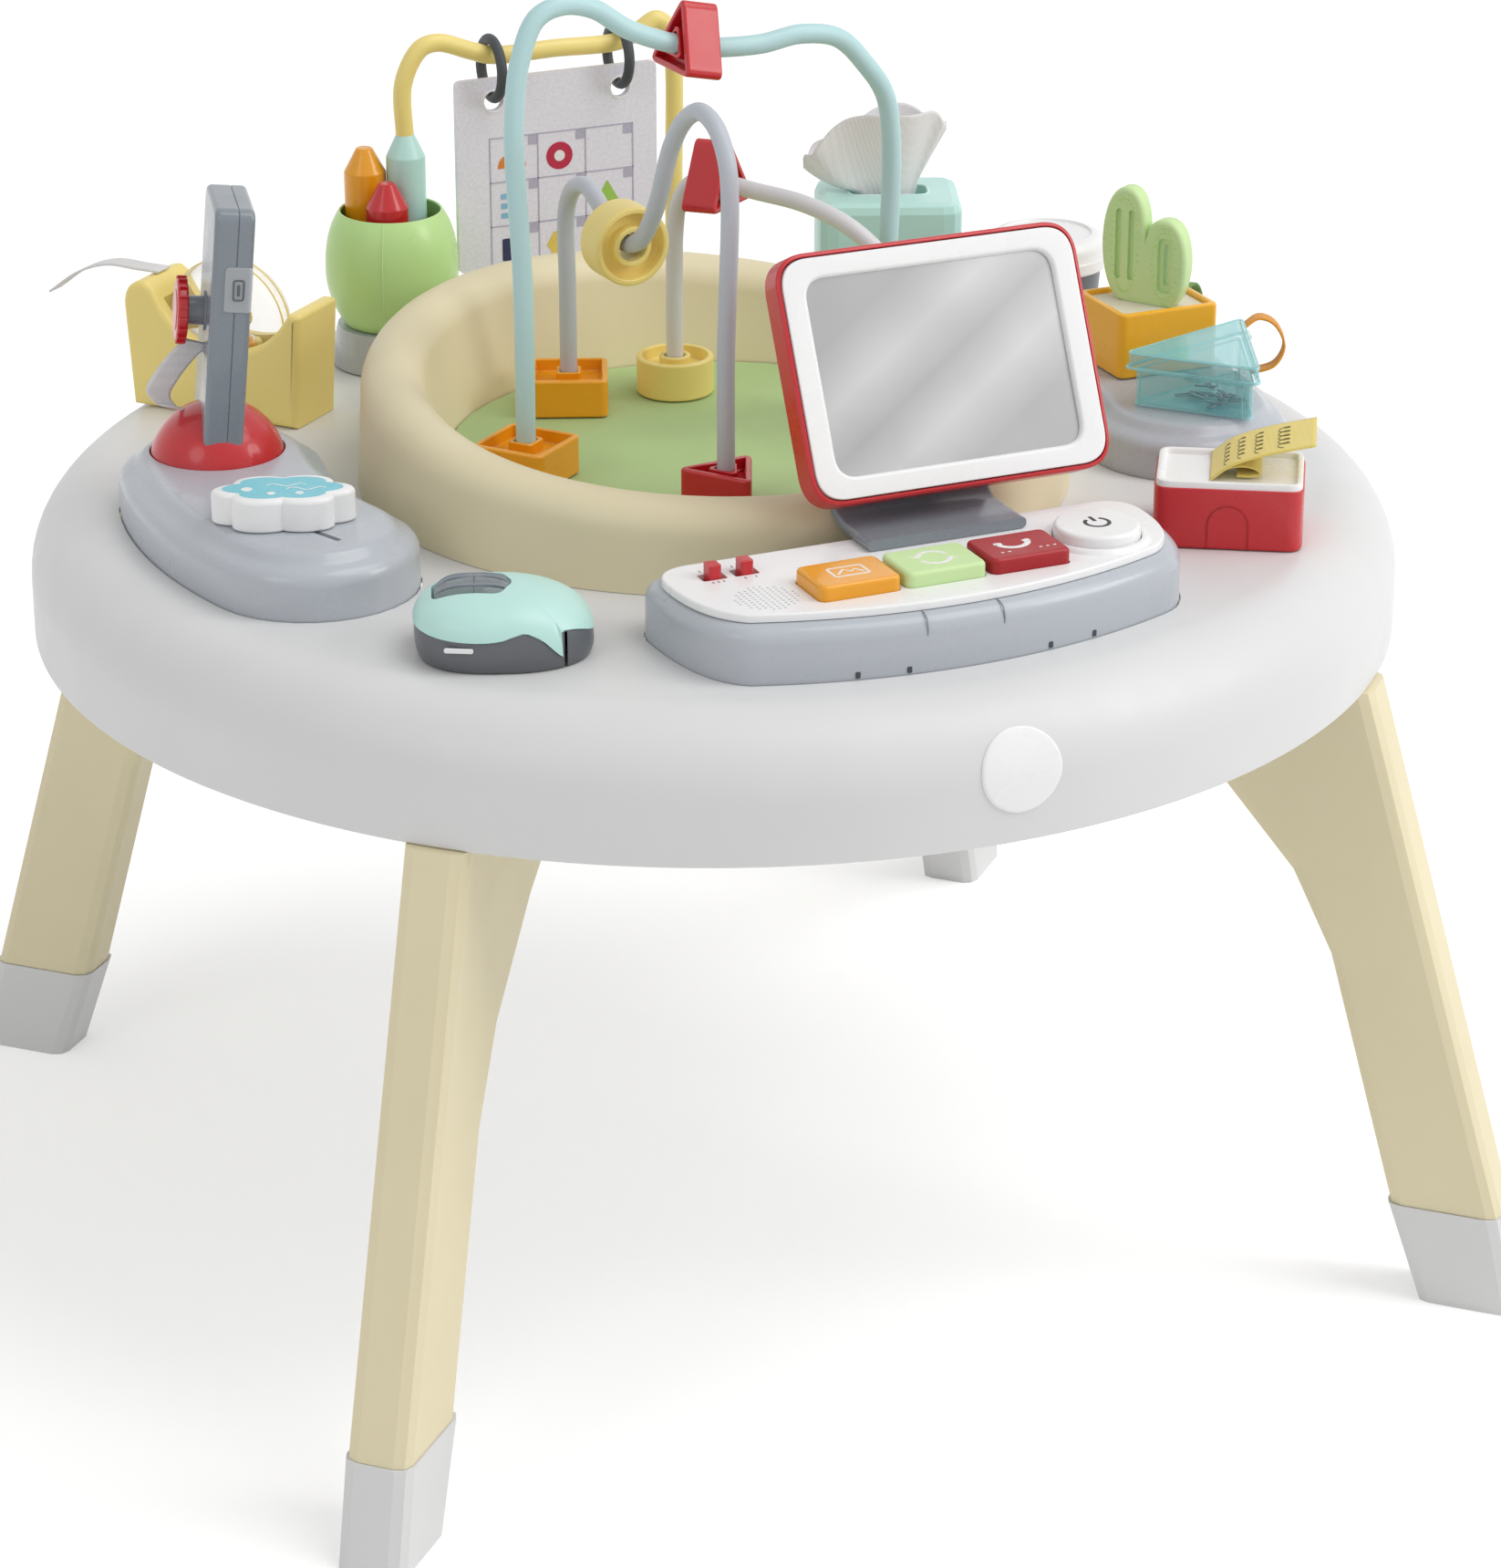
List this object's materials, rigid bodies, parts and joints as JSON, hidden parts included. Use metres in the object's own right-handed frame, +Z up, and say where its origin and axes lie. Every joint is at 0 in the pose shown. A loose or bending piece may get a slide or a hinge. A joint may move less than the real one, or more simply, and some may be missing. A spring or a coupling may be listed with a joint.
{
  "type": "baby activity center",
  "caption": "Round play table on splayed legs with a desk of toys: bead maze, toy computer, phone, calendar, crayons and clip boxes.",
  "frame": {"origin": "on the floor under the centre of the round table, the bottom centre of the bounding box", "axes": "+Z up; -Y to the side with the keyboard, where the child sits or stands; +X to the side with the planter"},
  "size_m": [0.77, 0.77, 0.7212],
  "materials": {
    "white_shell": "moulded, low gloss",
    "white_gloss": "moulded, gloss",
    "cream": "moulded, low gloss",
    "floor_green": "matt sheet",
    "mint": "moulded, gloss",
    "light_grey": "moulded, gloss",
    "mid_grey": "moulded, gloss",
    "dark_grey": "moulded, gloss",
    "red": "moulded, gloss",
    "orange": "moulded, gloss",
    "yellow": "moulded, gloss",
    "green": "moulded, gloss",
    "clear_teal": "clear tinted, gloss",
    "clear_amber": "clear, gloss",
    "page": "printed board",
    "cloth": "woven",
    "yellow_cloth": "woven, printed",
    "mirror": "polished"
  },
  "bodies": {
    "desk": {"table_top": "white_shell", "leg_front_left": "cream", "leg_front_right": "cream", "leg_back_left": "cream", "leg_back_right": "cream", "foot_front_left": "white_shell", "foot_front_right": "white_shell", "foot_back_left": "white_shell", "foot_back_right": "white_shell", "maze_ring": "cream", "maze_floor": "floor_green", "mint_wire": "mint", "grey_wire": "light_grey", "white_wire": "white_gloss", "phone_base": "light_grey", "tape_stand": "yellow", "tape_ribbon": "cloth", "crayon_cup": "green", "crayons": "orange", "calendar_arch": "yellow", "tissue_box": "mint", "tissue": "cloth", "coffee_cup": "dark_grey", "monitor_stand": "mid_grey", "keyboard_base": "light_grey", "keyboard_deck": "white_gloss", "sound_module": "dark_grey", "mouse_base": "mint", "side_base": "light_grey", "planter_box": "orange", "note_box": "red"},
    "monitor": {"monitor_shell": "red", "monitor_bezel": "white_gloss", "monitor_mirror": "mirror"},
    "phone": {"phone_ball": "red", "phone_handset": "mid_grey", "phone_strap": "cloth"},
    "dial": {"phone_dial": "red"},
    "cloud": {"cloud_slider": "white_gloss"},
    "globe": {"tape_globe": "clear_amber"},
    "calendar": {"calendar_page": "page", "calendar_ring_left": "dark_grey", "calendar_ring_right": "dark_grey"},
    "orange_key": {"key_orange": "orange"},
    "green_key": {"key_green": "green"},
    "red_key": {"key_red": "red"},
    "power": {"power_button": "white_gloss"},
    "volume": {"volume_switch": "red"},
    "mode": {"mode_switch": "red"},
    "roller": {"mouse_roller": "mid_grey"},
    "teething_plant": {"teether": "green"},
    "clips": {"clip_box": "clear_teal"},
    "note_flap": {"note_sheet": "yellow_cloth"},
    "high_mint_bead": {"mint_wire_bead": "red"},
    "high_grey_bead": {"grey_wire_bead": "yellow"},
    "high_white_bead": {"white_wire_bead": "red"},
    "mint_foot_bead": {"mint_wire_block": "orange"},
    "grey_foot_bead": {"grey_wire_block": "orange"},
    "grey_front_bead": {"grey_wire_wedge": "red"},
    "white_foot_bead": {"white_wire_puck": "yellow"}
  },
  "joints": [
    {"name": "monitor_tilt", "type": "hinge", "parent": "desk", "child": "monitor", "pos_m": [0.028, -0.17819, 0.52941], "axis": [1, 0, 0], "range_deg": [-12, 6]},
    {"name": "phone_rock", "type": "hinge", "parent": "desk", "child": "phone", "pos_m": [-0.274, 0.057, 0.462], "axis": [-0.225, -0.9744, 0], "range_deg": [-12, 12], "stiffness_Nm_per_rad": 0.8},
    {"name": "dial_spin", "type": "hinge", "parent": "phone", "child": "dial", "pos_m": [-0.28718, 0.06004, 0.55268], "axis": [-0.97, 0.2239, 0.0941], "continuous": true},
    {"name": "cloud_slide", "type": "slide", "parent": "desk", "child": "cloud", "axis": [0.3746, -0.9272, 0], "range_m": [-0.038, 0.038]},
    {"name": "globe_spin", "type": "hinge", "parent": "desk", "child": "globe", "pos_m": [-0.212, 0.219, 0.4903], "axis": [0.7627, 0.6468, 0], "continuous": true},
    {"name": "calendar_swing", "type": "hinge", "parent": "desk", "child": "calendar", "pos_m": [0.013, 0.266, 0.619], "axis": [1, 0, 0], "range_deg": [-20, 20]},
    {"name": "orange_key_press", "type": "slide", "parent": "desk", "child": "orange_key", "axis": [0, 0, -1], "range_m": [0, 0.003], "stiffness_N_per_m": 500, "springref_m": -0.001},
    {"name": "green_key_press", "type": "slide", "parent": "desk", "child": "green_key", "axis": [0, 0, -1], "range_m": [0, 0.003], "stiffness_N_per_m": 500, "springref_m": -0.001},
    {"name": "red_key_press", "type": "slide", "parent": "desk", "child": "red_key", "axis": [0, 0, -1], "range_m": [0, 0.003], "stiffness_N_per_m": 500, "springref_m": -0.001},
    {"name": "power_press", "type": "slide", "parent": "desk", "child": "power", "axis": [0, 0, -1], "range_m": [0, 0.003], "stiffness_N_per_m": 500, "springref_m": -0.001},
    {"name": "volume_slide", "type": "slide", "parent": "desk", "child": "volume", "axis": [1, 0, 0], "range_m": [-0.003, 0.003]},
    {"name": "mode_slide", "type": "slide", "parent": "desk", "child": "mode", "axis": [1, 0, 0], "range_m": [-0.003, 0.003]},
    {"name": "roller_spin", "type": "hinge", "parent": "desk", "child": "roller", "pos_m": [-0.2221, -0.20287, 0.4603], "axis": [0.9397, -0.342, 0], "continuous": true},
    {"name": "teether_lift", "type": "slide", "parent": "desk", "child": "teething_plant", "axis": [0, 0, 1], "range_m": [0, 0.08]},
    {"name": "clips_lift", "type": "slide", "parent": "desk", "child": "clips", "axis": [0, 0, 1], "range_m": [0, 0.08]},
    {"name": "note_flap_lift", "type": "hinge", "parent": "desk", "child": "note_flap", "pos_m": [0.20229, -0.19876, 0.4737], "axis": [-0.225, -0.9744, 0], "range_deg": [0, 50]},
    {"name": "high_mint_bead_spin", "type": "hinge", "parent": "desk", "child": "high_mint_bead", "pos_m": [-0.01453, -0.00358, 0.68574], "axis": [0.9735, 0.0698, -0.2177], "continuous": true},
    {"name": "high_grey_bead_spin", "type": "hinge", "parent": "desk", "child": "high_grey_bead", "pos_m": [-0.04468, 0.02066, 0.572], "axis": [0.0723, -0.9974, -0.0002], "continuous": true},
    {"name": "high_white_bead_spin", "type": "hinge", "parent": "desk", "child": "high_white_bead", "pos_m": [0.03316, 0.0726, 0.5843], "axis": [0.5837, -0.8092, 0.0671], "continuous": true},
    {"name": "mint_foot_bead_slide", "type": "slide", "parent": "desk", "child": "mint_foot_bead", "axis": [0, 0, 1], "range_m": [0, 0.08]},
    {"name": "grey_foot_bead_slide", "type": "slide", "parent": "desk", "child": "grey_foot_bead", "axis": [0, 0, 1], "range_m": [0, 0.045]},
    {"name": "grey_front_bead_slide", "type": "slide", "parent": "desk", "child": "grey_front_bead", "axis": [0, 0, 1], "range_m": [0, 0.055]},
    {"name": "white_foot_bead_slide", "type": "slide", "parent": "desk", "child": "white_foot_bead", "axis": [0, 0, 1], "range_m": [0, 0.04]}
  ]
}
